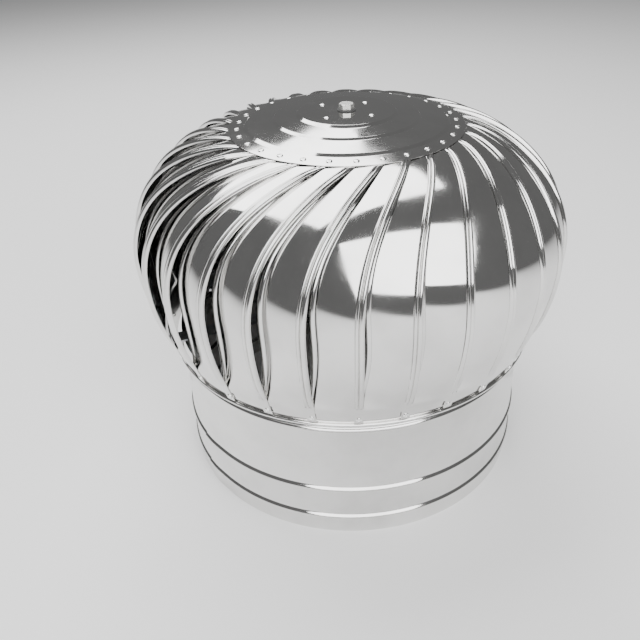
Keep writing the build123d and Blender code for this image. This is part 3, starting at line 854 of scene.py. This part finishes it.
@dataclass
class Neck:
    """The neck: a rolled sleeve with three swaged beads and a lapped upright seam."""

    radius: float = 250.0 * MM
    sheet: float = 1.0 * MM
    height: float = 214.0 * MM
    beads: tuple[float, ...] = (29.5 * MM, 80.5 * MM, 184.0 * MM)
    bead_rise: float = 3.5 * MM
    bead_half: float = 4.4 * MM
    bead_power: float = 0.85
    bead_steps: int = 14
    seam_angle: float = math.radians(212.0)
    seam_width: float = math.radians(4.2)
    seam_fade: float = math.radians(5.0)
    seam_edge: float = math.radians(0.06)
    turns: int = 300

    def _wall(self, radius: float) -> list[tuple[float, float]]:
        """One face of the wall, from its foot to its top, with its beads."""
        points = [(radius, 0.0)]
        for bead in self.beads:
            for step in range(self.bead_steps + 1):
                share = 2.0 * step / self.bead_steps - 1.0
                swell = self.bead_rise * (0.5 + 0.5 * math.cos(math.pi * share)) ** self.bead_power
                points.append((radius + swell, bead + share * self.bead_half))
        return [*points, (radius, self.height)]

    def _lap(self, angle: float) -> float:
        """How far the sheet stands out where its end laps over its start."""
        past = (angle - self.seam_angle) % (2 * math.pi)
        if past < self.seam_width:
            return self.sheet
        return self.sheet * max(0.0, 1.0 - (past - self.seam_width) / self.seam_fade)

    def build(self) -> None:
        """Turns the neck and laps its seam."""
        loop = [*self._wall(self.radius), *reversed(self._wall(self.radius - self.sheet))]
        marks = (self.seam_angle, self.seam_angle - self.seam_edge)
        angles = sorted([*round_turn(self.turns), *marks])
        hand_over(turned("neck_swaged", loop, angles, self._lap), Body.BASE, Slot.SHEET, "neck")


# ---------------------------------------------------------------------- rivets


@dataclass
class RivetTree:
    """The node tree that sets one rivet at even places round the axis."""

    name: str = "set_rivets_round_axis"

    def build(self) -> bpy.types.NodeTree:
        """Builds the tree.

        Returns:
            The tree, with its sizes as named inputs.
        """
        tree = bpy.data.node_groups.new(self.name, "GeometryNodeTree")
        face = tree.interface
        face.new_socket("Geometry", in_out="INPUT", socket_type="NodeSocketGeometry")
        face.new_socket("Count", in_out="INPUT", socket_type="NodeSocketInt")
        for name in ("Circle", "Height", "First Angle", "Step", "Lean"):
            face.new_socket(name, in_out="INPUT", socket_type="NodeSocketFloat")
        face.new_socket("Finish", in_out="INPUT", socket_type="NodeSocketMaterial")
        face.new_socket("Geometry", in_out="OUTPUT", socket_type="NodeSocketGeometry")
        desk = NodeDesk(tree)
        given = desk.add("NodeGroupInput").outputs
        index = desk.add("GeometryNodeInputIndex").outputs[0]
        angle = desk.math("MULTIPLY_ADD", index, given["Step"], given["First Angle"])
        place = desk.add("ShaderNodeCombineXYZ")
        desk.feed(place.inputs["X"], desk.math("MULTIPLY", desk.math("COSINE", angle), given["Circle"]))
        desk.feed(place.inputs["Y"], desk.math("MULTIPLY", desk.math("SINE", angle), given["Circle"]))
        desk.feed(place.inputs["Z"], given["Height"])
        turn = desk.add("ShaderNodeCombineXYZ")
        desk.feed(turn.inputs["Y"], given["Lean"])
        desk.feed(turn.inputs["Z"], angle)
        spots = desk.add("GeometryNodePoints")
        desk.feed(spots.inputs["Count"], given["Count"])
        desk.feed(spots.inputs["Position"], place.outputs[0])
        copies = desk.add("GeometryNodeInstanceOnPoints")
        desk.feed(copies.inputs["Points"], spots.outputs[0])
        desk.feed(copies.inputs["Instance"], given["Geometry"])
        desk.feed(copies.inputs["Rotation"], turn.outputs[0])
        desk.deliver(copies.outputs[0], given["Finish"])
        return tree


@dataclass
class Rivets:
    """The rivets that hold the blades to the plate and to the ring."""

    head: float = 3.8 * MM
    head_height: float = 1.5 * MM
    rim_height: float = 0.45 * MM
    shank: float = 1.95 * MM
    tail: float = 2.8 * MM
    tail_height: float = 0.9 * MM
    pin: float = 1.1 * MM
    pin_depth: float = 0.45 * MM
    turns: int = 24
    dome_steps: int = 6
    top_circle: float = 141.7 * MM
    ring_height: float = 212.0 * MM
    plate_lift: float = 1.05 * MM
    top_grip: float = 3.1 * MM
    ring_grip: float = 3.1 * MM

    def _form(self, grip: float) -> bpy.types.Mesh:
        """One blind rivet along Z, its head above the plane and its pin's end sunk in the dome."""
        loop = [(0.0, -grip - self.tail_height), (self.tail, -grip - self.tail_height),
                (self.tail, -grip), (self.shank, -grip), (self.shank, 0.0), (self.head, 0.0)]
        for step in range(self.dome_steps + 1):
            share = step / self.dome_steps
            radius = self.head + (self.pin - self.head) * share
            rise = math.sqrt(max(1.0 - (radius / self.head) ** 2, 0.0))
            loop.append((radius, self.rim_height + (self.head_height - self.rim_height) * rise))
        loop += [(self.pin, loop[-1][1] - self.pin_depth), (0.0, loop[-1][1] - self.pin_depth)]
        points, faces, size = [], [], len(loop) - 2
        for angle in round_turn(self.turns):
            points += [(r * math.cos(angle), r * math.sin(angle), z) for r, z in loop[1:-1]]
        low, high = len(points), len(points) + 1
        points += [(0.0, 0.0, loop[0][1]), (0.0, 0.0, loop[-1][1])]
        for turn in range(self.turns):
            here, ahead = turn * size, (turn + 1) % self.turns * size
            faces += [(here + i, ahead + i, ahead + i + 1, here + i + 1) for i in range(size - 1)]
            faces += [(low, ahead, here), (high, here + size - 1, ahead + size - 1)]
        mesh = bpy.data.meshes.new("rivet")
        mesh.from_pydata(points, [], faces)
        return mesh

    def build(self, skin: "Blades") -> None:
        """Sets both rings of rivets."""
        tree = RivetTree().build()
        keys = input_keys(tree)
        flange = math.hypot(1.0, skin.flange_slope)
        lean_up = math.atan(skin.flange_slope)
        foot_lean = math.pi / 2 + skin.foot_lean()
        rows = (
            ("top_rivets", self.top_circle + self.plate_lift * skin.flange_slope / flange,
             skin.flange_height(self.top_circle) + self.plate_lift / flange,
             skin.first_angle, lean_up, self.top_grip),
            ("ring_rivets", skin.foot_radius(self.ring_height), self.ring_height,
             skin.first_angle - skin.swirl_angle, foot_lean, self.ring_grip),
        )
        for node, circle, height, angle, lean, grip in rows:
            worker = link(node + "_form", self._form(grip))
            spread = worker.modifiers.new("spread", "NODES")
            spread.node_group = tree
            for name, value in (("Count", skin.count), ("Circle", circle), ("Height", height),
                                ("First Angle", angle), ("Step", 2 * math.pi / skin.count),
                                ("Lean", lean), ("Finish", RIVET_STEEL.material())):
                spread[keys[name]] = value
            hand_over(settle(node + "_domed", worker), Body.ROTOR, Slot.RIVET, node)


@dataclass
class CarriedNodes:
    """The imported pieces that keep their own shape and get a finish."""

    nodes: dict[str, bpy.types.Object]
    record: dict

    def dress(self) -> None:
        """Puts each slot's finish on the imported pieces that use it."""
        slots = {item["node"]: item["material_slot"] for item in self.record["subparts"]}
        for name, piece in self.nodes.items():
            finish = SLOT_FINISH[Slot(slots[name])]
            piece.data.materials.clear()
            piece.data.materials.append(finish.material())
            log.info("dressed %s with %s", name, finish.name)


# ---------------------------------------------------------------------- studio


@dataclass
class Camera:
    """The camera, placed by its aim, its distance and its tilt."""

    focal: float = 701.0
    picture: float = 640.0
    centre: tuple[float, float] = (332.7, 325.9)
    distance: float = 1.077
    elevation: float = math.radians(33.46)
    roll: float = math.radians(-1.83)
    aim: tuple[float, float, float] = (-0.0265, 0.0, 0.1736)
    film: float = 36.0

    def place(self) -> bpy.types.Object:
        """Makes the camera and gives it to the scene.

        Returns:
            The camera's object.
        """
        back = Vector((0, -math.cos(self.elevation), math.sin(self.elevation)))
        right = Vector((1, 0, 0))
        up = right.cross(-back)
        side = math.cos(self.roll) * right + math.sin(self.roll) * up
        top = -math.sin(self.roll) * right + math.cos(self.roll) * up
        lens = bpy.data.cameras.new("camera")
        lens.sensor_width = self.film
        lens.lens = self.focal / self.picture * self.film
        half = self.picture / 2
        lens.shift_x = -(self.centre[0] - half) / self.picture
        lens.shift_y = (self.centre[1] - half) / self.picture
        holder = bpy.data.objects.new("camera", lens)
        turn = Matrix((side, top, back)).transposed().to_4x4()
        holder.matrix_world = Matrix.Translation(Vector(self.aim) + back * self.distance) @ turn
        bpy.context.scene.collection.objects.link(holder)
        bpy.context.scene.camera = holder
        return holder


@dataclass(frozen=True)
class Lamp:
    """A square soft lamp, turned to the turbine."""

    name: str
    place: tuple[float, float, float]
    size: float
    power: float

    def hang(self, aim: Vector) -> None:
        """Hangs the lamp so that it faces a point."""
        light = bpy.data.lights.new(self.name, "AREA")
        light.shape = "SQUARE"
        light.size = self.size
        light.energy = self.power
        holder = link(self.name, light)
        holder.location = self.place
        away = aim - Vector(self.place)
        holder.rotation_euler = away.to_track_quat("-Z", "Y").to_euler()


@dataclass
class Studio:
    """A plain pale floor under plain soft light."""

    floor_size: float = 14.0
    floor_colour: tuple[float, float, float] = (0.92, 0.92, 0.92)
    floor_roughness: float = 0.9
    surround: tuple[float, float, float] = (0.16, 0.16, 0.16)
    aim: tuple[float, float, float] = (0.0, 0.0, 0.25)
    lamps: tuple[Lamp, ...] = (
        Lamp("overhead_lamp", (-0.7, 1.5, 2.9), 2.8, 130.0),
        Lamp("front_lamp", (0.3, -2.4, 2.7), 3.8, 210.0),
    )

    def build(self) -> None:
        """Builds the floor, the lamps and the even light all round."""
        self._floor()
        for lamp in self.lamps:
            lamp.hang(Vector(self.aim))
        world = bpy.data.worlds.new("studio_surround")
        bpy.context.scene.world = world
        world.use_nodes = True
        world.node_tree.nodes["Background"].inputs["Color"].default_value = (*self.surround, 1.0)

    def _floor(self) -> None:
        """Lays the floor under the foot."""
        half = self.floor_size / 2
        mesh = bpy.data.meshes.new("floor")
        corners = [(-half, -half, 0), (half, -half, 0), (half, half, 0), (-half, half, 0)]
        mesh.from_pydata(corners, [], [(0, 1, 2, 3)])
        paint = bpy.data.materials.new("pale_floor")
        paint.use_nodes = True
        shader = paint.node_tree.nodes["Principled BSDF"]
        shader.inputs["Base Color"].default_value = (*self.floor_colour, 1.0)
        shader.inputs["Roughness"].default_value = self.floor_roughness
        mesh.materials.append(paint)
        link("floor", mesh)


def main() -> None:
    """Builds the studio and dresses the turbine, piece by piece."""
    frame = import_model()
    CarriedNodes(frame["nodes"], frame["record"]).dress()
    blades = Blades()
    blades.build()
    TopPlate().build(blades)
    LowerRing().build(blades)
    Neck().build()
    Rivets().build(blades)
    Studio().build()
    Camera().place()


if __name__ == "__main__":
    logging.basicConfig(level=logging.INFO, format="%(message)s")
    main()
